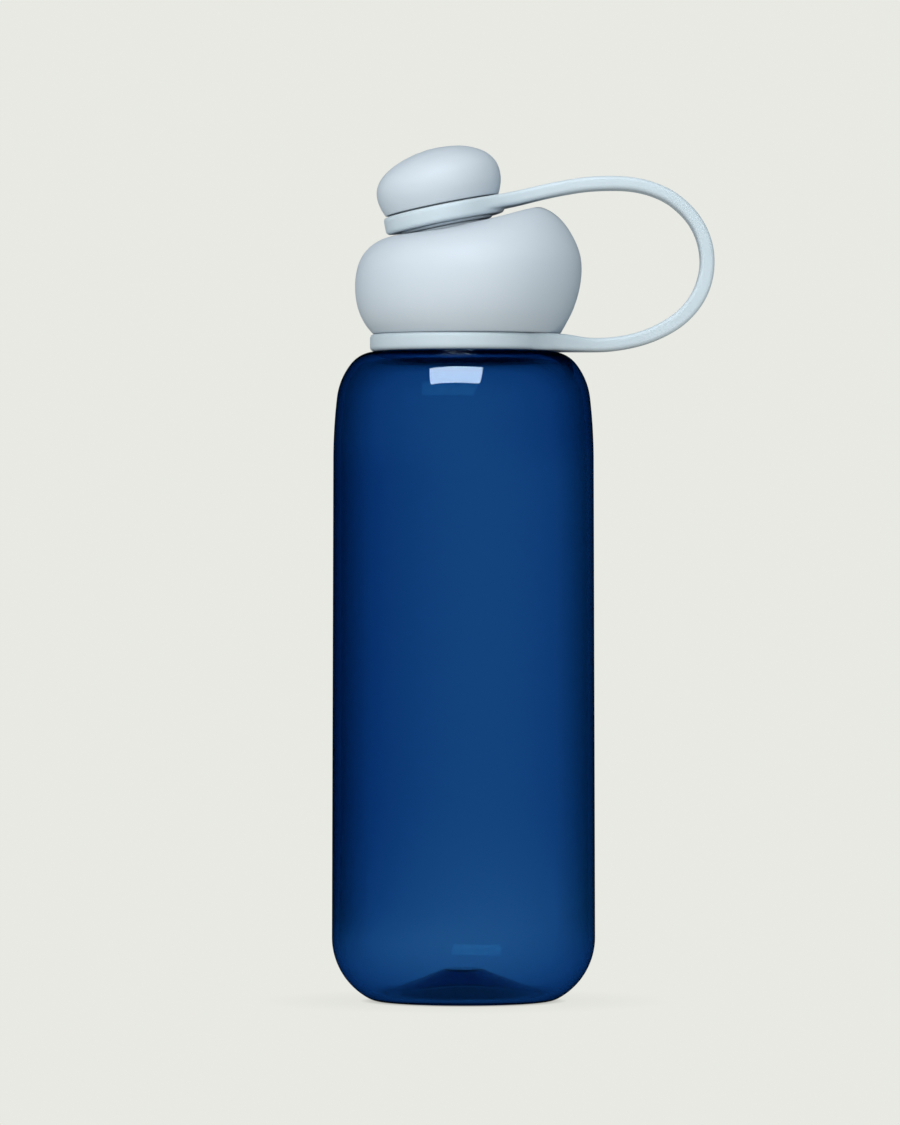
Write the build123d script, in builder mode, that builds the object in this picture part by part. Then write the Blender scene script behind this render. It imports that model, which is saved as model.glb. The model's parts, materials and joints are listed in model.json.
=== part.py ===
"""Screw-lid water bottle with a tethered spout cap, in millimetres.

The bottle stands on the plane Z = 0 with its axis on Z. The spout leans toward -X and the carrying
strap loops out toward +X.
"""

from build123d import *
from math import asin, atan2, cos, degrees, hypot, radians, sin, sqrt
import os

os.makedirs("parts", exist_ok=True)

# Bottle body
body_r = 38.0  # at the top of the base corner
shoulder_r = 37.6  # the wall draws in a little toward the shoulder
shoulder_start = 155.7
# The shoulder turns in on three arcs: radius of each, and the angle it ends at
shoulder_arcs = [(161.3, 6.5), (19.55, 38.0), (9.3, 90.0)]
wall = 2.1
base_wall = 1.8  # the wall thins toward the base
base_corner = 20.0
foot_round = 7.6  # the tighter arc that carries the base corner into the foot
foot_turn = 61.0  # where it takes over
push_up = 7.2
push_up_flat_r = 5.2
floor_t = 1.8

# Neck finish
neck_bore_r = 20.0
neck_root_r = 22.0
neck_crest_r = 23.2
land_r = 23.3
land_top = 192.1
rim_z = 208.0
lid_pitch = 5.0
lid_turns = 1.5
lid_thread_start = 196.0

# Lid
running_gap = 0.08
lid_bottom = 192.4
liner_r = 25.0
liner_bore_r = neck_crest_r + running_gap
gasket_t = 2.0
roof_t = 2.4
lid_wall = 2.4
lid_lip = 2.5
lid_edge_round = 11.0
dish_radius = 175.0
# Left and right end of each round section of the lid: x, z, x, z, from the bottom up
lid_sections = [
    (-26.3, 192.4, 28.1, 192.4),
    (-29.7, 197.6, 31.1, 198.2),
    (-31.3, 204.6, 33.6, 206.4),
    (-31.0, 210.0, 33.9, 213.6),
    (-29.7, 216.0, 30.9, 222.3),
    (-27.6, 222.6, 25.2, 232.6),
]

# Spout and cap share one leaning axis. Heights on it count from the cap's bottom edge
spout_lean = 11.3
cap_x = -6.2
cap_z = 229.6
spout_bore_r = 8.0
spout_r = 10.0
spout_crest_r = 11.1
spout_rim = 7.0
spout_collar_r = 11.7
spout_collar_top = -6.35
cap_seat = -7.0
cap_seat_r = 14.5
cap_pitch = 4.0
cap_turns = 1.25
cap_thread_start = 0.6
cap_neck_r = 13.0
cap_bore_r = spout_crest_r + running_gap
cap_lip_r = 13.7
cap_lip_top = -5.5
cap_neck_bottom = -6.2
cap_wall = 2.0
cap_flange_r = 14.8
cap_gasket_t = 1.6
cap_roof_t = 1.6
# Radius, height on the cap's axis and sideways shift of each round section of the cap
cap_sections = [
    (16.8, 0.0, 0.0),
    (18.0, 2.4, 0.1),
    (18.45, 5.4, 0.2),
    (18.1, 8.4, 0.35),
    (16.9, 10.9, 0.6),
    (14.7, 13.1, 0.95),
    (11.3, 15.0, 1.35),
    (7.0, 16.2, 1.7),
    (2.5, 16.7, 1.9),
]

# Strap
cap_ring_h = 5.0
neck_ring_h = 4.7
neck_ring_bottom = 187.45
neck_ring_r = 27.0
neck_ring_bore_r = land_r + running_gap
cap_ring_top = -0.4
cap_ring_r = 17.4
cap_ring_bore_r = cap_neck_r + running_gap
band_w = 14.0
band_t = 3.8
band_flare_r = 36.0  # of the sides where the band widens into a ring
band_z = 189.25
band_straight = 38.3
# Radius and turn of each bend of the loop, from the neck ring round to the cap ring
band_bends = [(42.1, 31.5), (20.95, 125.6), (42.4, 34.2)]


def leaning_plane(x, z, lean):
    """A plane centred on (x, 0, z) whose normal leans from +Z toward -X by lean degrees."""
    turn = radians(lean)
    return Plane(origin=(x, 0, z), x_dir=(cos(turn), 0, sin(turn)), z_dir=(-sin(turn), 0, cos(turn)))


def thread_ridge(root_r, crest_r, pitch, turns, foot_w, top_w):
    """A helical ridge round Z from angle 0 at Z = 0, its foot sunk 0.3 into the wall at root_r."""
    sunk_r = root_r - 0.3 if crest_r > root_r else root_r + 0.3
    with BuildPart() as ridge:
        with BuildLine():
            Helix(pitch, pitch * turns, root_r)
        with BuildSketch(Plane.XZ):
            Polygon(
                (sunk_r, -foot_w / 2),
                (crest_r, -top_w / 2),
                (crest_r, top_w / 2),
                (sunk_r, foot_w / 2),
                align=None,
            )
        sweep(is_frenet=True)
    return ridge.part


def lid_pebble(inset):
    """The lid's outer form, every surface moved in by inset. Its top is a shallow dish."""
    with BuildPart() as pebble:
        for left_x, left_z, right_x, right_z in lid_sections:
            lean = degrees(atan2(right_z - left_z, right_x - left_x))
            radius = hypot(right_x - left_x, right_z - left_z) / 2
            with BuildSketch(leaning_plane((left_x + right_x) / 2, (left_z + right_z) / 2, lean)):
                Circle(radius - inset)
        loft()
        dish = cap_base.offset(dish_radius - 6.9 - inset)
        with Locations(Location(dish.origin + dish.x_dir * 3.4)):
            Cylinder(dish_radius, 100, rotation=(90, 0, 0), mode=Mode.SUBTRACT)
        fillet(pebble.edges().sort_by(Axis.Z)[-1], lid_edge_round - inset)
    return pebble.part


def cap_pebble(inset):
    """The cap's outer form on its leaning axis, every surface moved in by inset."""
    with BuildPart() as pebble:
        for radius, height, shift in cap_sections:
            level = cap_base.offset(height * (1 - inset / cap_sections[-1][1]))
            with BuildSketch(Plane(level.origin + level.x_dir * shift, level.x_dir, level.z_dir)):
                Circle(radius - inset * min(1, radius / 16))
        loft()
    return pebble.part


def strap_arm(ring_plane, ring_r, cut_plane, keep):
    """One half of the band, from the middle of the loop to a ring, whose width flares into that ring."""
    flare_y = band_w / 2 + band_flare_r
    flare_x = sqrt((ring_r + band_flare_r) ** 2 - flare_y**2)
    touch = ring_r / (ring_r + band_flare_r)
    with BuildPart() as arm:
        with BuildSketch(Plane.XZ):
            with BuildLine():
                bend = Line((0, band_z), (band_straight, band_z))
                for bend_r, bend_turn in band_bends:
                    bend = JernArc(bend @ 1, bend % 1, bend_r, bend_turn)
                Line(bend @ 1, bend @ 1 + (bend % 1) * 40)
            trace(line_width=band_t)
        extrude(amount=ring_r, both=True)
        split(bisect_by=cut_plane, keep=keep)
        with BuildSketch(ring_plane.offset(-60)):
            with Locations((50, 0)):
                Rectangle(100, band_w)
            for side in (-1, 1):
                with BuildLine():
                    Polyline(
                        (0, 0),
                        (flare_x, 0),
                        (flare_x, side * band_w / 2),
                        (flare_x * touch, side * flare_y * touch),
                        (0, 0),
                    )
                make_face()
            with Locations((flare_x, flare_y), (flare_x, -flare_y)):
                Circle(band_flare_r, mode=Mode.SUBTRACT)
        extrude(amount=120, mode=Mode.INTERSECT)
        with BuildSketch(ring_plane.offset(-10)):
            Circle(ring_r)
        extrude(amount=20, mode=Mode.SUBTRACT)
    return arm.part


cap_base = leaning_plane(cap_x, cap_z, spout_lean)
cap_axis = Axis(cap_base.origin, cap_base.z_dir)
cap_side = Plane(cap_base.origin, cap_base.x_dir, (0, -1, 0))

# Bottle: blown body with a pushed-up floor, round shoulder, smooth land and threaded neck
foot_r = body_r - base_corner + (base_corner - foot_round) * cos(radians(foot_turn))
corner_z = foot_round + (base_corner - foot_round) * sin(radians(foot_turn))


def shoulder_centres():
    """Centre, radius, first and last angle of each shoulder arc, each running on from the one below."""
    arcs = []
    x, z, start = shoulder_r - shoulder_arcs[0][0], shoulder_start, 0.0
    for index, (radius, end) in enumerate(shoulder_arcs):
        arcs.append((x, z, radius, start, end))
        if index + 1 < len(shoulder_arcs):
            change = radius - shoulder_arcs[index + 1][0]
            x, z = x + change * cos(radians(end)), z + change * sin(radians(end))
        start = end
    return arcs


shoulder = shoulder_centres()
shoulder_top_r = shoulder[-1][0]
shoulder_top = shoulder[-1][1] + shoulder[-1][2]
neck_thread = thread_ridge(neck_root_r, neck_crest_r, lid_pitch, lid_turns, 2.8, 1.5)
with BuildPart() as bottle_body:
    with BuildSketch(Plane.XZ):
        with BuildLine():
            Polyline((0, push_up), (push_up_flat_r, push_up), (foot_r - 4.4, 1.3), (foot_r - 1.6, 0), (foot_r, 0))
            CenterArc((foot_r, foot_round), foot_round, 270, 90 - foot_turn)
            CenterArc((body_r - base_corner, corner_z), base_corner, -foot_turn, foot_turn)
            Line((body_r, corner_z), (shoulder_r, shoulder_start))
            for x, z, radius, start, end in shoulder:
                CenterArc((x, z), radius, start, end - start)
            Polyline(
                (shoulder_top_r, shoulder_top),
                (land_r, shoulder_top),
                (land_r, land_top),
                (neck_root_r, land_top + land_r - neck_root_r),
                (neck_root_r, rim_z),
                (0, rim_z),
                (0, push_up),
            )
        make_face()
    revolve(axis=Axis.Z)
    with Locations((0, 0, lid_thread_start)):
        add(neck_thread)
    with BuildSketch(Plane.XZ):
        with BuildLine():
            floor_z = push_up + floor_t
            foot_inner = foot_round - base_wall
            reach = Vector(foot_r - push_up_flat_r - 0.2, foot_round - floor_z)
            slope = degrees(atan2(reach.Y, reach.X) - asin(foot_inner / reach.length))
            CenterArc((foot_r, foot_round), foot_inner, slope - 90, 90 - foot_turn - slope)
            CenterArc((body_r - base_corner, corner_z), base_corner - base_wall, -foot_turn, foot_turn)
            Line((body_r - base_wall, corner_z), (shoulder_r - wall, shoulder_start))
            for x, z, radius, start, end in shoulder:
                CenterArc((x, z), radius - wall, start, end - start)
            Polyline(
                (shoulder_top_r, shoulder_top - wall),
                (neck_bore_r + 1, shoulder_top - wall),
                (neck_bore_r, shoulder_top - wall + 1),
                (neck_bore_r, rim_z),
                (0, rim_z),
                (0, floor_z),
                (push_up_flat_r + 0.2, floor_z),
                (foot_r + sin(radians(slope)) * foot_inner, foot_round - cos(radians(slope)) * foot_inner),
            )
        make_face()
    revolve(axis=Axis.Z, mode=Mode.SUBTRACT)
    rim = bottle_body.edges().filter_by(GeomType.CIRCLE).filter_by_position(Axis.Z, rim_z - 0.01, rim_z + 0.01)
    fillet(rim, 0.5)

# Lid: pebble-shaped shell, threaded liner, sealing ring
with BuildPart() as lid_cavity:
    add(lid_pebble(lid_wall))
    split(bisect_by=Plane.XY.offset(lid_bottom + lid_lip), keep=Keep.TOP)

with BuildPart() as lid_shell:
    add(lid_pebble(0))
    with BuildSketch(Plane.XY.offset(lid_bottom)):
        Circle(liner_r)
    extrude(amount=lid_lip, mode=Mode.SUBTRACT)
    add(lid_cavity.part, mode=Mode.SUBTRACT)
    with BuildSketch(cap_base.offset(cap_seat)):
        Circle(cap_seat_r)
    extrude(amount=6, mode=Mode.SUBTRACT)
    with BuildSketch(cap_base.offset(cap_seat)):
        Circle(spout_collar_r)
    extrude(amount=-6, mode=Mode.SUBTRACT)

lid_thread = thread_ridge(liner_bore_r, neck_root_r + running_gap, lid_pitch, lid_turns, 2.8, 1.5)
lid_thread_turn = 60
with BuildPart() as lid_liner:
    with BuildSketch(Plane.XY.offset(lid_bottom)):
        Circle(liner_r)
    extrude(amount=rim_z + gasket_t + roof_t - lid_bottom)
    with BuildSketch(Plane.XY.offset(lid_bottom)):
        Circle(liner_bore_r)
    extrude(amount=rim_z + gasket_t - lid_bottom, mode=Mode.SUBTRACT)
    with BuildSketch(cap_base.offset(cap_seat)):
        Circle(spout_r)
    extrude(amount=-30, mode=Mode.SUBTRACT)
    thread_z = lid_thread_start + lid_pitch * (lid_thread_turn / 360 - 0.5)
    with Locations(Location((0, 0, thread_z), (0, 0, lid_thread_turn))):
        add(lid_thread)

with BuildPart() as lid_gasket:
    with BuildSketch(Plane.XY.offset(rim_z)):
        Circle(liner_bore_r)
        Circle(neck_bore_r + 0.3, mode=Mode.SUBTRACT)
    extrude(amount=gasket_t)

# Spout: collar in the lid's top, threaded drinking tube, down through the liner's roof
spout_thread = thread_ridge(spout_r, spout_crest_r, cap_pitch, cap_turns, 2.2, 1.2)
with BuildPart() as spout:
    with BuildSketch(cap_base.offset(spout_collar_top)):
        Circle(spout_collar_r)
    extrude(amount=-18)
    with Locations((0, 0, rim_z + gasket_t + roof_t)):
        Box(80, 80, 40, align=(Align.CENTER, Align.CENTER, Align.MAX), mode=Mode.SUBTRACT)
    with BuildSketch(cap_base.offset(spout_rim)):
        Circle(spout_r)
    extrude(amount=-32)
    with Locations((0, 0, rim_z + gasket_t)):
        Box(80, 80, 40, align=(Align.CENTER, Align.CENTER, Align.MAX), mode=Mode.SUBTRACT)
    with Locations(cap_base.offset(cap_thread_start).location):
        add(spout_thread)
    with BuildSketch(cap_base.offset(spout_rim)):
        Circle(spout_bore_r)
    extrude(amount=-36, mode=Mode.SUBTRACT)

# Cap: pebble-shaped shell, threaded liner whose neck holds the strap's ring, sealing disc
with BuildPart() as cap_cavity:
    add(cap_pebble(cap_wall))
    split(bisect_by=cap_base.offset(cap_wall), keep=Keep.TOP)

with BuildPart() as cap_shell:
    add(cap_pebble(0))
    with BuildSketch(cap_base):
        Circle(cap_flange_r)
    extrude(amount=cap_wall, mode=Mode.SUBTRACT)
    add(cap_cavity.part, mode=Mode.SUBTRACT)

cap_thread = thread_ridge(cap_bore_r, spout_r + running_gap, cap_pitch, cap_turns, 2.2, 1.2)
with BuildPart() as cap_liner:
    with BuildSketch(cap_side):
        with BuildLine():
            gasket_top = spout_rim + cap_gasket_t
            Polyline(
                (0, gasket_top),
                (cap_bore_r, gasket_top),
                (cap_bore_r, cap_neck_bottom),
                (cap_lip_r - 0.5, cap_neck_bottom),
                (cap_lip_r, cap_lip_top - 0.2),
                (cap_lip_r, cap_lip_top),
                (cap_neck_r, cap_lip_top),
                (cap_neck_r, 0),
                (cap_flange_r, 0),
                (cap_flange_r, cap_wall),
                (cap_neck_r, cap_wall),
                (cap_neck_r, gasket_top + cap_roof_t),
                (0, gasket_top + cap_roof_t),
                close=True,
            )
        make_face()
    revolve(axis=cap_axis)
    with Locations(cap_base.offset(cap_thread_start - cap_pitch / 2).location):
        add(cap_thread)

with BuildPart() as cap_gasket:
    with BuildSketch(cap_base.offset(spout_rim)):
        Circle(cap_bore_r - 0.1)
    extrude(amount=cap_gasket_t)

# Strap: one silicone moulding, parted here where its ends have to follow the two rings
with BuildPart() as strap_neck_ring:
    with BuildSketch(Plane.XY.offset(neck_ring_bottom)):
        Circle(neck_ring_r)
        Circle(neck_ring_bore_r, mode=Mode.SUBTRACT)
    extrude(amount=neck_ring_h)
    rims = strap_neck_ring.edges().filter_by(GeomType.CIRCLE)
    fillet(rims.filter_by(lambda edge: edge.radius > neck_ring_r - 0.1), 1.0)

with BuildPart() as strap_cap_ring:
    with BuildSketch(cap_base.offset(cap_ring_top)):
        Circle(cap_ring_r)
        Circle(cap_ring_bore_r, mode=Mode.SUBTRACT)
    extrude(amount=-cap_ring_h)

first_r, first_turn = band_bends[0]
loop_r = band_bends[1][0]
first_angle = radians(first_turn)
loop_mid = Plane.XY.offset(band_z + first_r * (1 - cos(first_angle)) + loop_r * cos(first_angle))
lower_arm = strap_arm(Plane.XY.offset(band_z), neck_ring_r, loop_mid, Keep.BOTTOM)
upper_arm = strap_arm(cap_base.offset(cap_ring_top - cap_ring_h / 2), cap_ring_r, loop_mid, Keep.TOP)

with BuildPart() as strap_lower_arm:
    add(lower_arm)

with BuildPart() as strap_upper_arm:
    add(upper_arm)

named = {
    "bottle_body": bottle_body,
    "lid_shell": lid_shell,
    "lid_liner": lid_liner,
    "lid_gasket": lid_gasket,
    "spout": spout,
    "cap_shell": cap_shell,
    "cap_liner": cap_liner,
    "cap_gasket": cap_gasket,
    "strap_neck_ring": strap_neck_ring,
    "strap_lower_arm": strap_lower_arm,
    "strap_upper_arm": strap_upper_arm,
    "strap_cap_ring": strap_cap_ring,
}
for name, piece in named.items():
    piece.part.label = name
    export_step(piece.part, f"parts/{name}.step")
    box = piece.part.bounding_box()
    print(f"{name:18} {len(piece.part.solids())} solid {piece.part.volume:10.1f} mm3  {box}")
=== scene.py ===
"""Looks for the screw-lid water bottle: clear blue body, matte pale blue lid and cap, silicone strap."""

import json
import math

import bmesh
import bpy
import numpy as np
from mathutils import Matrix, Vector
from mathutils.bvhtree import BVHTree


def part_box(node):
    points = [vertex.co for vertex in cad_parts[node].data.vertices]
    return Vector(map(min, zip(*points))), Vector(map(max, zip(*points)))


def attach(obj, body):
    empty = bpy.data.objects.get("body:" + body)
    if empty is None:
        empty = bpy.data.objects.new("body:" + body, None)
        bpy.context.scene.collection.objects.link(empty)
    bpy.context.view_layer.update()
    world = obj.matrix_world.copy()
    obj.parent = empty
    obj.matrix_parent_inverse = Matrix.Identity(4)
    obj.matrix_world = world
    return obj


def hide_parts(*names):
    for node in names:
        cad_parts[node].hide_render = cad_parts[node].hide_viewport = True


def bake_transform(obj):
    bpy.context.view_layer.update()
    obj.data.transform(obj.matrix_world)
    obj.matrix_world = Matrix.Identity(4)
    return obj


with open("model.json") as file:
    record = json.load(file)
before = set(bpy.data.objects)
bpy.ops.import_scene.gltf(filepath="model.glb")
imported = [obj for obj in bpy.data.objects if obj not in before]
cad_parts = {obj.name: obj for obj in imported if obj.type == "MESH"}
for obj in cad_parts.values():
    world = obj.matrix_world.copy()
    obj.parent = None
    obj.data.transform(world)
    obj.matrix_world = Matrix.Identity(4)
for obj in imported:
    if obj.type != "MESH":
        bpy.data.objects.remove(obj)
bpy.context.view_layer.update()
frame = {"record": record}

MM = 0.001
ROUND = 192  # points round a turned piece
JOINTS = {joint["name"]: joint for joint in frame["record"]["behaviour"]["joints"]}


# ---------------------------------------------------------------- shaping tools


def rounded(corners, steps=6, closed=False):
    """Points along the outline through corners (x, y, radius), each corner rounded and its straights held."""
    count = len(corners)
    points = []
    for index, (x, y, radius) in enumerate(corners):
        here = np.array((x, y), float)
        if radius == 0 or (not closed and index in (0, count - 1)):
            points.append(here)
            continue
        before = np.array(corners[index - 1][:2], float) - here
        after = np.array(corners[(index + 1) % count][:2], float) - here
        reach_before, reach_after = np.linalg.norm(before), np.linalg.norm(after)
        before, after = before / reach_before, after / reach_after
        half = math.acos(np.clip(before @ after, -1, 1)) / 2
        tangent = radius / math.tan(half)
        centre = here + (before + after) / np.linalg.norm(before + after) * radius / math.sin(half)
        start, end = here + before * tangent, here + after * tangent
        hold = min(0.3, (reach_before - tangent) * 0.3, (reach_after - tangent) * 0.3)
        if hold > 0.02:
            points.append(start + before * hold)
        first, last = start - centre, end - centre
        swing = math.acos(np.clip(first @ last / radius**2, -1, 1))
        for share in np.linspace(0, 1, steps + 1):
            mixed = (math.sin((1 - share) * swing) * first + math.sin(share * swing) * last) / math.sin(swing)
            points.append(centre + mixed)
        if hold > 0.02:
            points.append(end + after * hold)
    return np.array(points)


def arc(centre, radii, start, end, steps):
    """Points on an ellipse, angles in degrees."""
    angles = np.radians(np.linspace(start, end, steps + 1))
    return np.c_[centre[0] + radii[0] * np.cos(angles), centre[1] + radii[1] * np.sin(angles)]


def smooth_through(points, steps):
    """A smooth curve through every point (Catmull-Rom), steps to each span."""
    points = np.array(points, float)
    padded = np.vstack([2 * points[0] - points[1], points, 2 * points[-1] - points[-2]])
    made = []
    for index in range(1, len(padded) - 2):
        a, b, c, d = padded[index - 1 : index + 3]
        for t in np.arange(steps) / steps:
            made.append(
                0.5 * (2 * b + (c - a) * t + (2 * a - 5 * b + 4 * c - d) * t**2 + (3 * b - a - 3 * c + d) * t**3)
            )
    made.append(points[-1])
    return np.array(made)


def new_mesh(name, points, faces):
    """An object from points in millimetres, smooth shaded, faces turned outward."""
    mesh = bpy.data.meshes.new(name)
    mesh.from_pydata((np.asarray(points, float) * MM).tolist(), [], faces)
    built = bmesh.new()
    built.from_mesh(mesh)
    bmesh.ops.recalc_face_normals(built, faces=built.faces)
    built.to_mesh(mesh)
    built.free()
    mesh.shade_smooth()
    thing = bpy.data.objects.new(name, mesh)
    bpy.context.scene.collection.objects.link(thing)
    return thing


def skin(name, loops, closed=False):
    """A surface over loops of equal length. A loop of one point is a pole, closed joins the last to the first."""
    points, starts, faces = [], [], []
    for loop in loops:
        starts.append(len(points))
        points.extend(np.atleast_2d(loop))
    pairs = list(zip(range(len(loops)), range(1, len(loops))))
    if closed:
        pairs.append((len(loops) - 1, 0))
    for low, high in pairs:
        size = max(len(np.atleast_2d(loops[low])), len(np.atleast_2d(loops[high])))
        for index in range(size):
            after = (index + 1) % size
            if len(np.atleast_2d(loops[low])) == 1:
                faces.append((starts[low], starts[high] + index, starts[high] + after))
            elif len(np.atleast_2d(loops[high])) == 1:
                faces.append((starts[low] + index, starts[low] + after, starts[high]))
            else:
                faces.append(
                    (starts[low] + index, starts[low] + after, starts[high] + after, starts[high] + index)
                )
    return new_mesh(name, points, faces)


class Axis:
    """A leaning axis in the XZ plane: places points given across (u), front to back (y) and along (v) it."""

    def __init__(self, origin, lean):
        turn = math.radians(lean)
        self.origin = np.array(origin, float)
        self.across = np.array((math.cos(turn), 0, math.sin(turn)))
        self.along = np.array((-math.sin(turn), 0, math.cos(turn)))

    def place(self, u, y, v):
        u, y, v = np.broadcast_arrays(np.asarray(u, float), y, v)
        return self.origin + u[:, None] * self.across + y[:, None] * (0, 1, 0) + v[:, None] * self.along


ANGLES = np.linspace(0, 2 * np.pi, ROUND, endpoint=False)


def thread(start, pitch, turns, foot, top, turned=0.0):
    """How far a helical ridge stands out at (angle, height), from 0 to 1. It runs out at both ends."""

    def stand(angle, height):
        share = (angle - math.radians(turned)) / (2 * np.pi)
        lap = np.round((height - start) / pitch - share)
        along = lap + share
        off = np.abs(height - start - pitch * along)
        ridge = np.clip((foot / 2 - off) / ((foot - top) / 2), 0, 1)
        ends = np.clip(np.minimum(along, turns - along) * 14, 0, 1)
        return ridge * ridge * (3 - 2 * ridge) * ends

    return stand


def turned(name, profile, axis, ridge=None, ridge_height=0.0, ridge_root=None, closed=False):
    """A piece turned about an axis. Profile points at radius ridge_root carry the ridge."""
    loops = []
    for radius, height in profile:
        if radius < 1e-6:
            loops.append(axis.place(np.zeros(1), 0, height))
            continue
        radii = np.full(ROUND, radius)
        if ridge is not None and abs(radius - ridge_root) < 1e-6:
            radii = radii + ridge_height * ridge(ANGLES, height)
        loops.append(axis.place(radii * np.cos(ANGLES), radii * np.sin(ANGLES), np.full(ROUND, height)))
    return skin(name, loops, closed)


def round_section(left, right, sag=0.0):
    """A circle whose ends in the XZ plane are left and right (x, z). Its front and back hang sag lower."""
    left, right = np.array(left, float), np.array(right, float)
    middle, half = (left + right) / 2, (right - left) / 2
    points = np.empty((ROUND, 3))
    points[:, 0] = middle[0] + half[0] * np.cos(ANGLES)
    points[:, 1] = np.hypot(*half) * np.sin(ANGLES)
    points[:, 2] = middle[1] + half[1] * np.cos(ANGLES) - sag * np.sin(ANGLES) ** 2
    return points


# ---------------------------------------------------------------- the frame's own places

upright = Axis((0, 0, 0), 0)
cap_joint = JOINTS["cap_turn"]
lean = math.degrees(math.atan2(-cap_joint["axis"][0], cap_joint["axis"][2]))
leaning = Axis(np.array(cap_joint["pos_m"]) / MM, lean)


def span(node):
    """A CAD node's lowest and highest corner in millimetres."""
    low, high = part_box(node)
    return np.array(low) / MM, np.array(high) / MM


# ---------------------------------------------------------------- bottle

body_r, _, rim = span("bottle_body")[1]
wall, base_wall = 2.1, 1.8  # on the sides and at the base
neck_root, neck_bore, land = 22.0, 20.0, 23.3  # radii: under the thread, inside, and under the strap's ring
lid_pitch, lid_turns, lid_thread_start = 5.0, 1.5, 196.0
THREAD_FOOT, THREAD_TOP, THREAD_DEPTH = 2.8, 1.5, 1.2
BASE_CORNER, FOOT_ROUND, FOOT_TURN = 20.0, 7.6, 61.0
PUSH_UP, PUSH_UP_FLAT = 7.2, 5.0
FLOOR_Z, FLOOR_FLAT = 9.0, 5.4
SHOULDER_R, SHOULDER_START = 37.6, 155.7
SHOULDER_ARCS = [(161.3, 6.5), (19.55, 38.0), (9.3, 90.0)]  # radius, angle it ends at
INNER_SHOULDER_END = 75.0  # the cavity's shoulder leaves its arc here and flares up into the neck
FLARE_TOP, FLARE_FOOT = (neck_bore, 188.6, 0.8), (21.7, 186.4, 0.6)  # radius, height, rounding
UNEVEN = 0.16  # the cavity sits this far to the right, so the left wall is the thicker
UNEVEN_LOW, UNEVEN_HIGH, UNEVEN_RUN = 14, 165, 16

foot = body_r - BASE_CORNER + (BASE_CORNER - FOOT_ROUND) * math.cos(math.radians(FOOT_TURN))
corner_z = FOOT_ROUND + (BASE_CORNER - FOOT_ROUND) * math.sin(math.radians(FOOT_TURN))
foot_inner = FOOT_ROUND - base_wall


def shoulder(inset, last=90.0):
    """The shoulder's outline up to angle last, each arc running on from the one below, set in by inset."""
    points, x, z, start = [], SHOULDER_R - SHOULDER_ARCS[0][0], SHOULDER_START, 0.0
    for index, (radius, end) in enumerate(SHOULDER_ARCS):
        curve = arc((x, z), (radius - inset,) * 2, start, min(end, last), 20)
        points.append(curve[1 if index else 0 :])
        if index + 1 < len(SHOULDER_ARCS):
            change = radius - SHOULDER_ARCS[index + 1][0]
            x, z = x + change * math.cos(math.radians(end)), z + change * math.sin(math.radians(end))
        start = end
    return np.vstack(points)


def cavity_side():
    """The straight inner wall, thinning toward the base."""
    heights = np.linspace(corner_z, SHOULDER_START, 60)
    share = (heights - corner_z) / (SHOULDER_START - corner_z)
    thick = smooth_through([(corner_z, base_wall), (30, 1.93), (50, 2.06), (70, wall), (SHOULDER_START, wall)], 8)
    thickness = np.interp(heights, thick[:, 0], thick[:, 1])
    return np.c_[body_r + (SHOULDER_R - body_r) * share - thickness, heights]


reach = math.atan2(FOOT_ROUND - FLOOR_Z, foot - FLOOR_FLAT)
reach -= math.asin(foot_inner / math.hypot(foot - FLOOR_FLAT, FOOT_ROUND - FLOOR_Z))
floor_slope = math.degrees(reach)
outer_shoulder, inner_shoulder = shoulder(0), shoulder(wall, INNER_SHOULDER_END)
shoulder_top = outer_shoulder[-1][1]
threaded = [(neck_root, height) for height in np.arange(194.0, rim - 0.8, 0.22)]
bottle_outline = np.vstack(
    [
        rounded(
            [
                (0, PUSH_UP, 0),
                (PUSH_UP_FLAT, PUSH_UP, 0.8),
                (foot - 4.4, 1.3, 2.0),
                (foot - 1.6, 0, 0.7),
                (foot, 0, 0),
            ]
        ),
        arc((foot, FOOT_ROUND), (FOOT_ROUND, FOOT_ROUND), 270, 360 - FOOT_TURN, 8)[1:],
        arc((body_r - BASE_CORNER, corner_z), (BASE_CORNER, BASE_CORNER), -FOOT_TURN, 0, 32)[1:],
        [(body_r - 0.004, corner_z + 1.4)],
        outer_shoulder,
        rounded(
            [
                (25.0, shoulder_top, 0),
                (land, shoulder_top, 0.5),
                (land, 192.1, 0.4),
                (neck_root, 193.4, 0.4),
                (neck_root, 193.9, 0),
            ]
        ),
        threaded,
        rounded(
            [
                (neck_root, rim - 0.75, 0),
                (neck_root, rim, 0.6),
                (neck_bore, rim, 0.6),
                (neck_bore, rim - 1.5, 0),
            ]
        ),
        rounded([(neck_bore, rim - 2, 0), FLARE_TOP, FLARE_FOOT, (*inner_shoulder[-1], 0)]),
        inner_shoulder[-2:0:-1],
        cavity_side()[::-1],
        arc((body_r - BASE_CORNER, corner_z), (BASE_CORNER - base_wall,) * 2, 0, -FOOT_TURN, 32)[1:],
        arc((foot, FOOT_ROUND), (foot_inner, foot_inner), -FOOT_TURN, floor_slope - 90, 12)[1:-1],
        rounded(
            [
                (foot + foot_inner * math.sin(reach), FOOT_ROUND - foot_inner * math.cos(reach), 0),
                (FLOOR_FLAT, FLOOR_Z, 0.8),
                (0, FLOOR_Z, 0),
            ]
        ),
    ]
)
neck_thread = thread(lid_thread_start, lid_pitch, lid_turns, THREAD_FOOT, THREAD_TOP)
bottle = turned("bottle", bottle_outline, upright, neck_thread, THREAD_DEPTH, neck_root)
for vertex in bottle.data.vertices:
    x, y, z = vertex.co / MM
    if math.hypot(x, y) < body_r - 1.2 and UNEVEN_LOW < z < UNEVEN_HIGH:
        share = min(1, (z - UNEVEN_LOW) / UNEVEN_RUN, (UNEVEN_HIGH - z) / UNEVEN_RUN)
        vertex.co.x += UNEVEN * share * share * (3 - 2 * share) * MM

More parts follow.
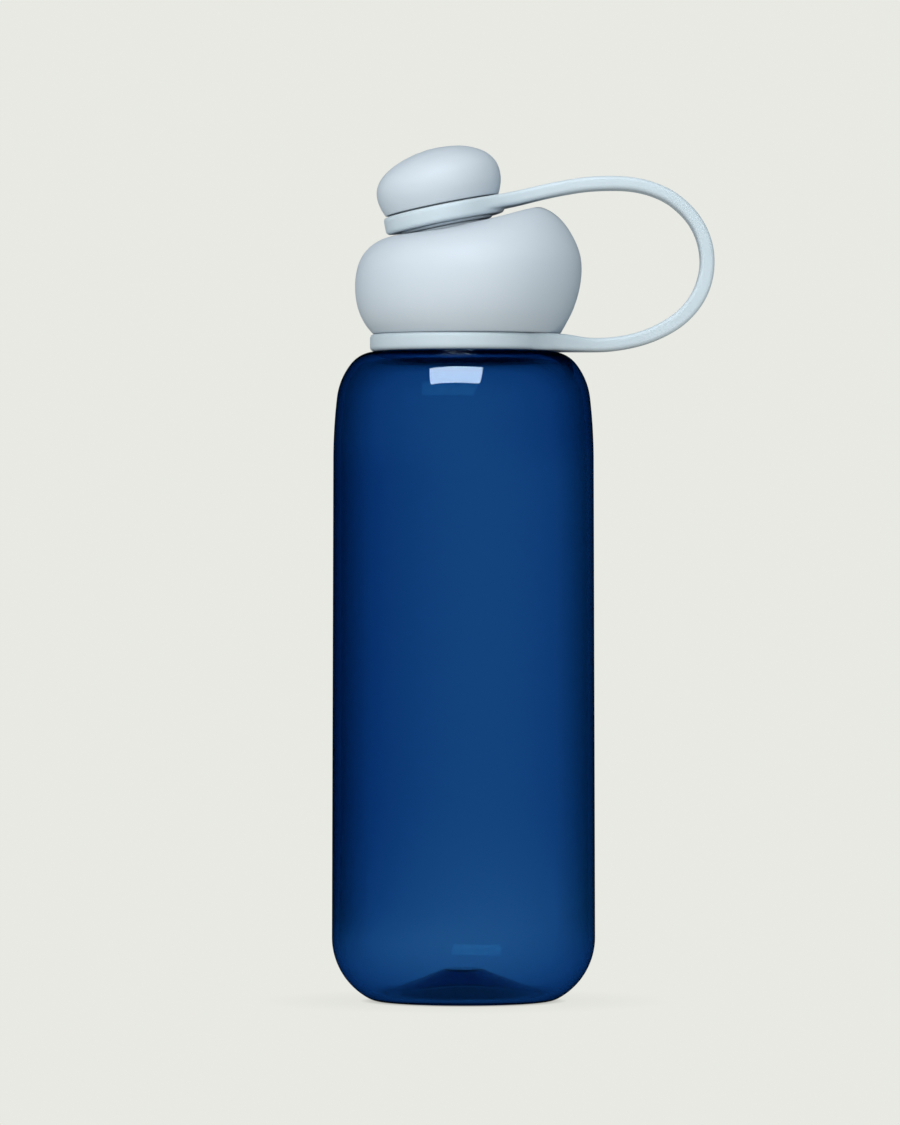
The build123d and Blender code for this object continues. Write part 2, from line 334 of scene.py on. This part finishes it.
# ---------------------------------------------------------------- lid

lid_base = span("lid_shell")[0][2]
hole_r, hole_z = 11.7, -7.0  # the spout's hole, its edge given along the spout's axis
hole_left = leaning.place([-hole_r], 0, hole_z)[0]
hole_right = leaning.place([hole_r], 0, hole_z)[0]
# Left and right end of each level of the lid, bottom to crest, and how far its front and back hang
lid_levels = [
    (-26.1, lid_base, 27.9, lid_base, 0.0),
    (-28.35, 195.2, 29.6, 195.4, 0.0),
    (-30.05, 198.6, 31.4, 198.9, 0.0),
    (-31.0, 202.2, 32.8, 202.8, 0.0),
    (-31.3, 205.8, 33.75, 206.9, 0.0),
    (-31.1, 209.2, 34.1, 210.9, 0.1),
    (-30.35, 212.5, 33.8, 214.7, 0.3),
    (-28.85, 215.5, 32.7, 218.2, 0.5),
    (-26.6, 217.9, 31.1, 221.4, 0.8),
    (-24.0, 219.5, 29.15, 224.3, 1.1),
    (-21.3, 220.45, 26.8, 226.7, 1.4),
    (-18.8, 220.95, 24.2, 228.35, 1.6),
    (-17.3, 221.0, 21.9, 229.05, 1.7),
    (-16.9, 220.85, 19.4, 228.7, 1.5),
    (-16.7, 220.7, 15.2, 227.5, 1.0),
    (-16.5, 220.55, 10.8, 226.2, 0.4),
    (hole_left[0], hole_left[2], hole_right[0], hole_right[2], 0.0),
]
outer = smooth_through(lid_levels, 6)
lid_loops = [round_section(level[:2], level[2:4], level[4]) for level in outer[1:]]
hole_wall = [
    leaning.place(hole_r * np.cos(ANGLES), hole_r * np.sin(ANGLES), np.full(ROUND, height))
    for height in (-7.2, -8.0, -9.2)
]
under_top = [
    leaning.place(radius * np.cos(ANGLES) + shift, radius * np.sin(ANGLES), np.full(ROUND, height))
    for radius, shift, height in ((12.2, 0, -9.6), (20.0, 3.0, -10.6), (27.0, 4.0, -15.0))
]
inner_side = [
    round_section((-29.0, 208.0), (31.6, 209.5)),
    round_section((-27.0, 198.0), (29.0, 198.0)),
]
lip = [
    upright.place(radius * np.cos(ANGLES), radius * np.sin(ANGLES), np.full(ROUND, height))
    for radius, height in ((25.3, 195.1), (25.0, 194.8), (25.0, lid_base + 0.3), (25.3, lid_base))
]
edge = [
    round_section((-25.75, lid_base), (27.55, lid_base)),
    round_section((-26.05, lid_base + 0.1), (27.85, lid_base + 0.1)),
]
lid = skin("lid", [*lip, *edge, *lid_loops, *hole_wall, *under_top, *inner_side], closed=True)

liner_r, liner_bore, roof_low, roof_high = 25.0, 23.28, 210.0, 212.4
roof_hole = 18  # the roof ends on a circle this large, with one more loop inside it: the spout's hole
SPOUT_HOLE = (10.2, 10.0)  # half its length left to right and front to back
LINER_TURNED = 60  # degrees, so that its ridge lies between the neck's
liner_thread_z = lid_thread_start + lid_pitch * (LINER_TURNED / 360 - 0.5)
liner_rows = [(liner_bore, height) for height in np.arange(193.2, 204.6, 0.22)][::-1]
liner_profile = np.vstack(
    [
        rounded([(liner_r, 205, 0), (liner_r, roof_high, 0.8), (roof_hole, roof_high, 0)]),
        rounded([(roof_hole, roof_low, 0), (liner_bore, roof_low, 0.4), (liner_bore, 204.8, 0)]),
        liner_rows,
        rounded(
            [
                (liner_bore, 193.0, 0),
                (liner_bore, lid_base, 0.3),
                (liner_r, lid_base, 0.3),
                (liner_r, 193.2, 0),
            ]
        ),
    ]
)
liner_ridge = thread(liner_thread_z, lid_pitch, lid_turns, THREAD_FOOT, THREAD_TOP, turned=LINER_TURNED)
liner_loops = []
for radius, height in liner_profile:
    radii = np.full(ROUND, radius)
    if abs(radius - liner_bore) < 1e-6:
        radii = radii - THREAD_DEPTH * liner_ridge(ANGLES, height)
    liner_loops.append(upright.place(radii * np.cos(ANGLES), radii * np.sin(ANGLES), np.full(ROUND, height)))
    if abs(radius - roof_hole) < 1e-6:
        drop = (height - leaning.origin[2]) / leaning.along[2]
        middle = leaning.origin[0] + drop * leaning.along[0]
        liner_loops.append(
            np.c_[middle + SPOUT_HOLE[0] * np.cos(ANGLES), SPOUT_HOLE[1] * np.sin(ANGLES), np.full(ROUND, height)]
        )
        if height == roof_low:
            liner_loops[-1], liner_loops[-2] = liner_loops[-2], liner_loops[-1]
lid_liner = skin("lid_thread_cup", liner_loops, closed=True)

lid_seal = turned(
    "lid_seal",
    rounded([(20.3, 208, 0.5), (23.28, 208, 0.3), (23.28, 210, 0.3), (20.3, 210, 0.3)], closed=True),
    upright,
    closed=True,
)

# ---------------------------------------------------------------- spout

spout_root, spout_crest, spout_bore, spout_rim, collar_top = 10.0, 11.1, 8.0, 7.0, -6.35
cap_pitch, cap_turns, cap_thread_start = 4.0, 1.25, 0.6
CAP_THREAD_FOOT, CAP_THREAD_TOP = 2.2, 1.2
collar_foot, spout_foot = -14, -19
spout_rows = [(spout_root, height) for height in np.arange(-1.6, 6.2, 0.2)]
spout_profile = np.vstack(
    [
        rounded(
            [
                (hole_r, collar_foot, 0),
                (hole_r, collar_top, 0.35),
                (spout_root, collar_top, 0.3),
                (spout_root, -1.8, 0),
            ]
        ),
        spout_rows,
        rounded(
            [
                (spout_root, 6.3, 0),
                (spout_root, spout_rim, 0.5),
                (spout_bore, spout_rim, 0.7),
                (spout_bore, spout_foot, 0),
            ]
        ),
        [(spout_root, spout_foot)],
    ]
)
spout_ridge = thread(cap_thread_start, cap_pitch, cap_turns, CAP_THREAD_FOOT, CAP_THREAD_TOP)
spout = turned(
    "drinking_spout", spout_profile, leaning, spout_ridge, spout_crest - spout_root, spout_root, closed=True
)

# ---------------------------------------------------------------- cap

CAP_WALL = 2.0
# Left and right end of each level of the cap on its own axis: across, along
cap_levels = [
    (-16.6, 0.0, 16.6, 0.0),
    (-17.45, 2.2, 17.5, 2.0),
    (-17.95, 4.6, 18.15, 4.2),
    (-17.85, 7.0, 18.3, 6.6),
    (-17.1, 9.0, 17.9, 9.0),
    (-15.7, 10.85, 16.85, 11.0),
    (-13.7, 12.4, 15.15, 12.85),
    (-11.2, 13.8, 12.6, 14.4),
    (-8.3, 14.95, 9.6, 15.6),
    (-5.0, 15.85, 6.1, 16.3),
    (-1.8, 16.4, 2.9, 16.55),
]


def on_cap_axis(level, grow=0.0, rise=0.0):
    """The round section of the cap at one level."""
    left = leaning.place([level[0] - grow], 0, level[1] + rise)[0]
    right = leaning.place([level[2] + grow], 0, level[3] + rise)[0]
    return round_section((left[0], left[2]), (right[0], right[2]))


cap_outer = [on_cap_axis(level) for level in smooth_through(cap_levels, 6)[1:]]
cap_pole = leaning.place([0.7], 0, 16.6)
cap_inner = [on_cap_axis(level, -CAP_WALL, -CAP_WALL if level[1] > 6 else 0.0) for level in cap_levels[9:1:-1]]
cap_rim = [
    leaning.place(radius * np.cos(ANGLES), radius * np.sin(ANGLES), np.full(ROUND, height))
    for radius, height in ((14.8, 2.0), (14.8, 0.25), (15.0, 0.0), (16.3, 0.0), (16.62, 0.1))
]
cap = skin("cap", [leaning.place([0.7], 0, 14.5), *cap_inner, *cap_rim, *cap_outer, cap_pole])

cap_bore, cap_neck, cap_lip = 11.18, 13.0, 13.7
cap_flange, roof_top, roof_under = 14.8, 10.2, 8.6
seal_r, seal_under = 11.08, 7.0
cap_rows = [(cap_bore, height) for height in np.arange(-3.4, 5.4, 0.2)]
cap_liner_profile = np.vstack(
    [
        [(0, roof_top)],
        rounded(
            [
                (1, roof_top, 0),
                (cap_neck, roof_top, 0.6),
                (cap_neck, 2.0, 0.3),
                (cap_flange, 2.0, 0.2),
                (cap_flange, 0, 0.2),
                (cap_neck, 0, 0.3),
                (cap_neck, -5.5, 0.2),
                (cap_lip, -5.5, 0.15),
                (cap_lip - 0.4, -6.2, 0.3),
                (cap_bore, -6.2, 0.3),
                (cap_bore, -3.7, 0),
            ]
        ),
        cap_rows,
        rounded([(cap_bore, 5.6, 0), (cap_bore, roof_under, 0.2), (1, roof_under, 0)]),
        [(0, roof_under)],
    ]
)
cap_ridge = thread(cap_thread_start - cap_pitch / 2, cap_pitch, cap_turns, CAP_THREAD_FOOT, CAP_THREAD_TOP)
cap_liner = turned("cap_thread_cup", cap_liner_profile, leaning, cap_ridge, -1.1, cap_bore)
seal_edge = rounded(
    [(1, seal_under, 0), (seal_r, seal_under, 0.25), (seal_r, roof_under, 0.25), (1, roof_under, 0)]
)
cap_seal = turned("cap_seal", np.vstack([[(0, seal_under)], seal_edge, [(0, roof_under)]]), leaning)

# ---------------------------------------------------------------- strap

BAND_W, BAND_T, BAND_CORNER, FLARE_R = 14.0, 3.8, 1.1, 36.0
VOXEL = 0.3
HOLD_FROM, HOLD_RUN = 1.5, 5  # the band's own faces hold the moulding from here out past the ring
STRAIGHT, BAND_Z = 38.3, 189.25
BENDS = [(42.1, 31.5), (20.95, 125.6), (41.8, 34.2)]  # radius, degrees turned
LOOP_MIDDLE = STRAIGHT + BENDS[0][0] * math.radians(BENDS[0][1]) + BENDS[1][0] * math.radians(90 - BENDS[0][1])


def loop_point(distance):
    """Place and heading in the XZ plane at a distance along the band's centre line, from the neck's axis."""
    run = min(distance, STRAIGHT)
    spot, heading = np.array((run, BAND_Z)), 0.0
    distance -= run
    for radius, turn in BENDS:
        centre = spot + radius * np.array((-math.sin(heading), math.cos(heading)))
        swing = min(distance / radius, math.radians(turn))
        heading += swing
        spot = centre + radius * np.array((math.sin(heading), -math.cos(heading)))
        distance -= radius * swing
    return spot + distance * np.array((math.cos(heading), math.sin(heading))), heading


bends_length = STRAIGHT + sum(radius * math.radians(turn) for radius, turn in BENDS)
loop_end = loop_point(bends_length)[0]
loop_total = bends_length + (loop_end - leaning.origin[[0, 2]]) @ leaning.across[[0, 2]]


def swell(u, middle, reach):
    """A smooth rise to 1 at the middle, back to 0 at reach on both sides."""
    off = min(abs(u - middle) / reach, 1)
    return (1 - off * off) ** 2


def from_neck(u, y, h):
    """A point of the lower half: u along from the neck's axis, h above the centre line."""
    spot, heading = loop_point(u)
    h = h - 0.15 * swell(u, 55, 12)
    return (spot[0] - h * math.sin(heading), y, spot[1] + h * math.cos(heading))


def from_cap(u, y, h):
    """A point of the upper half: u along from the cap's axis, h above the centre line."""
    spot, heading = loop_point(loop_total - u)
    h = h + 0.36 * swell(u, 33, 13) + 0.45 * swell(u, 60, 13)
    return (spot[0] + h * math.sin(heading), y, spot[1] - h * math.cos(heading))


def band(name, ring_r, inner_r, place, faces, length):
    """The flat band, its root spread along the ring by two flares. faces(u) gives its lower and upper face."""
    flare_y = BAND_W / 2 + FLARE_R
    flare_x = math.sqrt((ring_r + FLARE_R) ** 2 - flare_y**2)
    touch_x = flare_x * ring_r / (ring_r + FLARE_R) - 0.3
    root = (ring_r + inner_r) / 2
    loops = []
    for along in np.linspace(root, length, 150):
        settled = np.clip((along - root) / 10, 0, 1)
        side = along - (root - touch_x) * (1 - settled) ** 2
        off = max(flare_x - side, 0)
        half = flare_y - math.sqrt(FLARE_R**2 - off**2)
        low, high = faces(along)
        corners = [(-half, low), (half, low), (half, high), (-half, high)]
        section = rounded([(*corner, BAND_CORNER) for corner in corners], steps=9, closed=True)
        flat = []
        for index, point in enumerate(section):
            flat.append(point)
            after = section[(index + 1) % len(section)]
            if abs(after[0] - point[0]) > 3:
                flat += [point + (after - point) * share for share in np.linspace(0, 1, 14)[1:-1]]
        loops.append(
            np.array([place(along + (side - along) * (y / half) ** 2, y, h) for y, h in flat])
        )
    return skin(name, [loops[0].mean(0), *loops, loops[-1].mean(0)])


def relax(built, vertices, passes):
    """Smooth these vertices of a bmesh."""
    for _ in range(passes):
        bmesh.ops.smooth_vert(built, verts=vertices, factor=0.5, use_axis_x=True, use_axis_y=True, use_axis_z=True)


def moulded(name, ring_piece, band_piece, axis, ring_r, cut_at, cut_normal):
    """Ring and band run together as one moulding, held to the band's own faces, open where it is cut across."""
    joined = bmesh.new()
    joined.from_mesh(band_piece.data)
    faces = BVHTree.FromBMesh(joined)
    joined.clear()
    for piece in (ring_piece, band_piece):
        joined.from_mesh(piece.data)
        bpy.data.objects.remove(piece)
    mesh = bpy.data.meshes.new(name)
    joined.to_mesh(mesh)
    joined.free()
    thing = bpy.data.objects.new(name, mesh)
    bpy.context.scene.collection.objects.link(thing)
    remesh = thing.modifiers.new("moulding", "REMESH")
    remesh.mode, remesh.voxel_size = "VOXEL", VOXEL * MM
    soften = thing.modifiers.new("soften", "SMOOTH")
    soften.factor, soften.iterations = 0.5, 6
    graph = bpy.context.evaluated_depsgraph_get()
    whole = bpy.data.meshes.new_from_object(thing.evaluated_get(graph))
    thing.modifiers.clear()
    built = bmesh.new()
    built.from_mesh(whole)
    origin, across = Vector(axis.origin * MM), Vector(axis.across)
    held = []
    for vertex in built.verts:
        off = vertex.co - origin
        share = min(1, (math.hypot(off @ across, off.y) / MM - ring_r - HOLD_FROM) / HOLD_RUN)
        if share > 0:
            held.append((vertex, share * share * (3 - 2 * share)))
    loose = [vertex for vertex, _ in held]
    for _ in range(4):
        relax(built, loose, 3)
        for vertex, share in held:
            vertex.co = vertex.co.lerp(faces.find_nearest(vertex.co)[0], share)
    relax(built, built.verts, 2)
    bmesh.ops.bisect_plane(
        built,
        geom=[*built.verts, *built.edges, *built.faces],
        plane_co=Vector(cut_at) * MM,
        plane_no=Vector(cut_normal),
        clear_outer=True,
    )
    built.to_mesh(whole)
    built.free()
    whole.shade_smooth()
    thing.data = whole
    return thing


neck_ring_foot = span("strap_neck_ring")[0][2]
NECK_RING_TOP = 192.33  # it closes up to the lid's edge
neck_ring_r, neck_ring_bore = 27.0, 23.38
cap_ring_r, cap_ring_bore, cap_ring_foot, cap_ring_top = 17.4, 13.08, -5.4, -0.4


def lower_faces(u):
    """The band is as thick as the neck ring at its root and thins to its own thickness."""
    share = np.clip((u - 27.9) / 9, 0, 1)
    share = share * share * (3 - 2 * share)
    low, high = neck_ring_foot - BAND_Z, NECK_RING_TOP - BAND_Z
    half = BAND_T / 2 + 0.25 * swell(u, 68, 22)
    return low + (-half - low) * share, high + (half - high) * share


def upper_faces(u):
    """Lower and upper face of the half that comes from the cap."""
    half = BAND_T / 2 - 0.12 * swell(u, 66, 22) + 0.075 * swell(u, 89, 12)
    return -half, half


def ring(name, axis, bore, outer, low, high, corner):
    """A plain ring about an axis, its outer edges rounded."""
    profile = rounded(
        [(bore, low, 0.4), (outer, low, corner), (outer, high, corner), (bore, high, 0.4)], closed=True
    )
    return turned(name, profile, axis, closed=True)


middle_spot, middle_heading = loop_point(LOOP_MIDDLE)
cut = (middle_spot[0], 0, middle_spot[1])
forward = (math.cos(middle_heading), 0, math.sin(middle_heading))
strap_lower = moulded(
    "strap_lower",
    ring("ring_a", upright, neck_ring_bore, neck_ring_r, neck_ring_foot, NECK_RING_TOP, 1.0),
    band("band_a", neck_ring_r, neck_ring_bore, from_neck, lower_faces, LOOP_MIDDLE + 3),
    upright,
    neck_ring_r,
    cut,
    forward,
)
strap_upper = moulded(
    "strap_upper",
    ring("ring_b", leaning, cap_ring_bore, cap_ring_r, cap_ring_foot, cap_ring_top, 1.0),
    band("band_b", cap_ring_r, cap_ring_bore, from_cap, upper_faces, loop_total - LOOP_MIDDLE + 3),
    leaning,
    cap_ring_r,
    cut,
    tuple(-part for part in forward),
)
for piece in (strap_lower, strap_upper, lid, cap):
    piece.visible_glossy = False  # the clear shoulder mirrors none of them

# ---------------------------------------------------------------- materials


class Nodes:
    """A material's node tree, built by name."""

    def __init__(self, name):
        self.material = bpy.data.materials.new(name)
        self.material.use_nodes = True
        self.tree = self.material.node_tree
        self.tree.nodes.clear()
        self.output = self.add("ShaderNodeOutputMaterial")
        self.place = self.add("ShaderNodeTexCoord").outputs["Object"]

    def add(self, kind, **values):
        node = self.tree.nodes.new(kind)
        for key, value in values.items():
            if key in node.inputs:
                self.feed(node.inputs[key], value)
            else:
                setattr(node, key, value)
        return node

    def feed(self, socket, value):
        if isinstance(value, bpy.types.NodeSocket):
            self.tree.links.new(value, socket)
        else:
            socket.default_value = value

    def noise(self, scale, detail=3.0, roughness=0.5):
        node = self.add("ShaderNodeTexNoise", Scale=scale, Detail=detail, Roughness=roughness)
        self.tree.links.new(self.place, node.inputs["Vector"])
        return node.outputs["Fac"]

    def remap(self, value, low, high, to_low, to_high):
        node = self.add("ShaderNodeMapRange")
        for socket, given in zip(node.inputs, (value, low, high, to_low, to_high)):
            self.feed(socket, given)
        return node.outputs["Result"]

    def mix(self, share, first, second):
        node = self.add("ShaderNodeMix", data_type="RGBA")
        self.feed(node.inputs["Factor"], share)
        self.feed(node.inputs["A"], first)
        self.feed(node.inputs["B"], second)
        return node.outputs["Result"]

    def bump(self, height, strength, distance, normal=None):
        node = self.add("ShaderNodeBump", Height=height, Strength=strength, Distance=distance)
        if normal is not None:
            self.feed(node.inputs["Normal"], normal)
        return node.outputs["Normal"]


def moulded_finish(name, colour, second, roughness, grain, grain_depth, specular=0.4, sheen=0.0):
    """A matte moulded surface: slow colour drift, fine grain, and roughness that varies with the grain."""
    nodes = Nodes(name)
    drift = nodes.remap(nodes.noise(28, 3), 0.35, 0.65, 0.0, 1.0)
    fine = nodes.noise(grain, 2, 0.6)
    slow = nodes.noise(180, 2)
    normal = nodes.bump(fine, 0.35, grain_depth, nodes.bump(slow, 0.25, 0.0001))
    shader = nodes.add("ShaderNodeBsdfPrincipled")
    nodes.feed(shader.inputs["Base Color"], nodes.mix(drift, (*colour, 1), (*second, 1)))
    nodes.feed(shader.inputs["Roughness"], nodes.remap(slow, 0.3, 0.7, roughness - 0.04, roughness + 0.04))
    shader.inputs["Specular IOR Level"].default_value = specular
    shader.inputs["Sheen Weight"].default_value = sheen
    shader.inputs["Sheen Roughness"].default_value = 0.5
    nodes.feed(shader.inputs["Normal"], normal)
    nodes.feed(nodes.output.inputs["Surface"], shader.outputs["BSDF"])
    return nodes.material


GLASS_COLOUR, GLASS_DENSITY = (0.017, 0.449, 0.73, 1), 1150.0
PAINTED_EDGE_SHADE = (0.1, 0.37, 0.25, 1)  # painted shade of the wall seen edge on, above the base's corner, in place of the darker surroundings it would show
GRAZING_FROM, GRAZING_TO = (0.3, 0.010), (0.85, 0.024)  # where the painted edge shade begins and is full: how far edge on, height in metres


def clear_blue():
    """Deep blue clear plastic: the colour comes from its thickness, with painted shade where the side wall is seen
    edge on, and the faces have a faint moulding ripple.
    """
    nodes = Nodes("clear_blue")
    slow = nodes.noise(22, 1)
    fine = nodes.noise(900, 2)
    shader = nodes.add("ShaderNodeBsdfPrincipled")
    # Painted shade: the side wall is darkened where it is seen edge on, above the base's corner
    grazing = nodes.add("ShaderNodeLayerWeight", Blend=0.5)
    edge_on = nodes.remap(grazing.outputs["Facing"], GRAZING_FROM[0], GRAZING_TO[0], 0.0, 1.0)
    height = nodes.add("ShaderNodeSeparateXYZ")
    nodes.feed(height.inputs["Vector"], nodes.place)
    straight = nodes.remap(height.outputs["Z"], GRAZING_FROM[1], GRAZING_TO[1], 0.0, 1.0)
    share = nodes.add("ShaderNodeMath", operation="MULTIPLY")
    nodes.feed(share.inputs[0], edge_on)
    nodes.feed(share.inputs[1], straight)
    edge_shade = nodes.mix(share.outputs["Value"], (1, 1, 1, 1), PAINTED_EDGE_SHADE)
    nodes.feed(shader.inputs["Base Color"], edge_shade)
    nodes.feed(shader.inputs["Roughness"], nodes.remap(fine, 0.3, 0.7, 0.0, 0.02))
    shader.inputs["IOR"].default_value = 1.5
    shader.inputs["Transmission Weight"].default_value = 1
    nodes.feed(shader.inputs["Normal"], nodes.bump(slow, 0.1, 0.001))
    nodes.feed(nodes.output.inputs["Surface"], shader.outputs["BSDF"])
    absorb = nodes.add("ShaderNodeVolumeAbsorption", Color=GLASS_COLOUR, Density=GLASS_DENSITY)
    nodes.feed(nodes.output.inputs["Volume"], absorb.outputs["Volume"])
    return nodes.material


body_finish = clear_blue()
shell_finish = moulded_finish(
    "pale_blue_shell", (0.53, 0.583, 0.637), (0.505, 0.56, 0.617), 0.52, 2600, 0.00004, specular=0.12
)
liner_finish = moulded_finish("liner_plastic", (0.55, 0.62, 0.68), (0.52, 0.60, 0.67), 0.35, 1500, 0.00002)
spout_finish = moulded_finish("spout_plastic", (0.55, 0.62, 0.68), (0.52, 0.60, 0.67), 0.3, 1500, 0.00002)
strap_finish = moulded_finish(
    "strap_silicone", (0.505, 0.575, 0.62), (0.48, 0.555, 0.602), 0.6, 3200, 0.00003, sheen=0.15
)
seal_finish = moulded_finish("seal_silicone", (0.72, 0.74, 0.74), (0.68, 0.71, 0.72), 0.55, 2600, 0.00002)


def finish_piece(piece, material, slot, body, *nodes):
    """Give a piece its material, and say which nodes it replaces and which body it rides on, if one. The slot
    argument is not used.
    """
    piece.data.materials.clear()
    piece.data.materials.append(material)
    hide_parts(*nodes)
    if body:
        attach(piece, body)


finish_piece(bottle, body_finish, "clear_blue", "bottle", "bottle_body")
finish_piece(lid, shell_finish, "pale_blue_shell", "lid", "lid_shell")
finish_piece(lid_liner, liner_finish, "liner_plastic", "lid", "lid_liner")
finish_piece(lid_seal, seal_finish, "seal_silicone", "lid", "lid_gasket")
finish_piece(spout, spout_finish, "spout_plastic", "lid", "spout")
finish_piece(cap, shell_finish, "pale_blue_shell", "cap", "cap_shell")
finish_piece(cap_liner, liner_finish, "liner_plastic", "cap", "cap_liner")
finish_piece(cap_seal, seal_finish, "seal_silicone", "cap", "cap_gasket")
finish_piece(strap_lower, strap_finish, "strap_silicone", None, "strap_neck_ring", "strap_lower_arm")
finish_piece(strap_upper, strap_finish, "strap_silicone", None, "strap_cap_ring", "strap_upper_arm")
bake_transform(strap_lower)
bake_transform(strap_upper)

# ---------------------------------------------------------------- floor, light, camera

PAPER = (0.807, 0.816, 0.768)
# Painted shadow on the floor under and around the bottle, dimming its glow: distance from and to, level from and
# to
PAINTED_SHADOW_UNDER, PAINTED_SHADE_AROUND = (0.018, 0.030, 0.10, 0.93), (0.026, 0.060, 1.0, 1.075)
GROUND, GROUND_RINGS = -0.05, (0.5, 30, 60, 150, 300, 600)
FILL_COLOUR, FILL, BOUNCE = (0.718, 0.967, 1.14), 0.34, 0.85
# The faint light that gloss mirrors from the room and from the floor
MIRRORED, MIRRORED_ROOM, MIRRORED_FLOOR = (0.1, 0.5, 1.0), 0.003, 0.005
# name, place, aimed at, width, height, power, colour, the only rays that meet it
LIGHTS = [
    ("overhead", (-0.08, -0.515, 1.055), (0, -0.03, 0.18), 0.70, 0.61, 4.8, (1.05, 0.99, 0.94), "diffuse"),
    ("left", (-1.1, -0.9, 0.45), (0, 0, 0.2), 0.8, 0.8, 7.2, (1.03, 1, 0.955), "diffuse"),
    ("front", (0.0, -1.6, 0.5), (0, 0, 0.2), 0.9, 0.9, 11.0, (1.03, 1, 0.955), "diffuse"),
    ("right", (1.1, -0.8, 0.45), (0, 0, 0.2), 0.8, 0.8, 1.4, (1.03, 1, 0.955), "diffuse"),
    ("card", (-0.112, -0.615, 0.93), (-0.07, 0, 0.44), 0.72, 0.54, 20.0, (0.65, 0.85, 1.06), "glossy"),
    ("low_card", (-0.21, -0.79, 0.6), (0, 0, 0.02), 0.81, 0.4, 7.5, (1.0, 1.0, 0.5), "transmission"),
]


class Studio:
    """Light by kind of ray: what the camera sees, what lights matt surfaces, what gloss mirrors."""

    def __init__(self, tree):
        self.tree = tree
        self.path = tree.nodes.new("ShaderNodeLightPath")

    def light(self, kind, colour, strength):
        node = self.tree.nodes.new(kind)
        node.inputs["Color"].default_value = (*colour, 1)
        if isinstance(strength, bpy.types.NodeSocket):
            self.tree.links.new(strength, node.inputs["Strength"])
        else:
            node.inputs["Strength"].default_value = strength
        return node.outputs[0]

    def choose(self, ray, otherwise, then):
        node = self.tree.nodes.new("ShaderNodeMixShader")
        bounced = self.tree.nodes.new("ShaderNodeMath")
        bounced.operation, bounced.use_clamp = "SUBTRACT", True
        self.tree.links.new(self.path.outputs[ray], bounced.inputs[0])
        self.tree.links.new(self.path.outputs["Is Transmission Ray"], bounced.inputs[1])
        self.tree.links.new(bounced.outputs["Value"], node.inputs["Fac"])
        self.tree.links.new(otherwise, node.inputs[1])
        self.tree.links.new(then, node.inputs[2])
        return node.outputs["Shader"]


world = bpy.data.worlds.new("studio")
world.use_nodes = True
world.cycles.sampling_method = "NONE"
bpy.context.scene.world = world
world.node_tree.nodes.clear()
studio = Studio(world.node_tree)
seen = studio.light("ShaderNodeBackground", PAPER, 1.0)
lit = studio.choose("Is Diffuse Ray", seen, studio.light("ShaderNodeBackground", FILL_COLOUR, FILL))
lit = studio.choose("Is Glossy Ray", lit, studio.light("ShaderNodeBackground", MIRRORED, MIRRORED_ROOM))
out = world.node_tree.nodes.new("ShaderNodeOutputWorld")
world.node_tree.links.new(lit, out.inputs["Surface"])

floor_loops = [
    upright.place(radius * np.cos(ANGLES), radius * np.sin(ANGLES), np.full(ROUND, GROUND))
    for radius in GROUND_RINGS
]
floor = skin("floor", [upright.place([0], 0, GROUND), *floor_loops])
paper = Nodes("paper")
paper.material.cycles.emission_sampling = "NONE"
away = paper.add("ShaderNodeVectorMath", operation="LENGTH")
paper.feed(away.inputs[0], paper.place)
# Painted shadow: the floor's glow is dimmed under and close around the bottle, by distance from its axis
painted_shadow_under = paper.remap(away.outputs["Value"], *PAINTED_SHADOW_UNDER)
painted_shade = paper.add("ShaderNodeMath", operation="MULTIPLY")
paper.feed(painted_shade.inputs[0], painted_shadow_under)
paper.feed(painted_shade.inputs[1], paper.remap(away.outputs["Value"], *PAINTED_SHADE_AROUND))
studio = Studio(paper.tree)
seen = studio.light("ShaderNodeEmission", PAPER, painted_shade.outputs["Value"])
lit = studio.choose("Is Diffuse Ray", seen, studio.light("ShaderNodeEmission", PAPER, BOUNCE))
lit = studio.choose("Is Glossy Ray", lit, studio.light("ShaderNodeEmission", MIRRORED, MIRRORED_FLOOR))
paper.tree.links.new(lit, paper.output.inputs["Surface"])
floor.data.materials.append(paper.material)

for name, place, target, width, height, power, colour, rays in LIGHTS:
    data = bpy.data.lights.new(name, "AREA")
    data.shape, data.size, data.size_y = "RECTANGLE", width, height
    data.energy, data.color = power, colour
    lamp = bpy.data.objects.new(name, data)
    lamp.location = place
    lamp.rotation_euler = (Vector(target) - Vector(place)).to_track_quat("-Z", "Y").to_euler()
    lamp.visible_diffuse = rays == "diffuse"
    lamp.visible_glossy = rays == "glossy"
    lamp.visible_transmission = rays == "transmission"
    bpy.context.scene.collection.objects.link(lamp)

camera_data = bpy.data.cameras.new("camera")
camera_data.sensor_fit, camera_data.sensor_width = "AUTO", 36
camera_data.lens = 227.2
camera_data.clip_start, camera_data.clip_end = 0.05, 20
camera = bpy.data.objects.new("camera", camera_data)
camera.location = (-0.0039, -2.05, 0.1265)
camera.rotation_euler = (math.radians(90), 0, 0)
bpy.context.scene.collection.objects.link(camera)
bpy.context.scene.camera = camera
bpy.context.scene.view_settings.view_transform = "Standard"
bpy.context.scene.view_settings.look = "None"
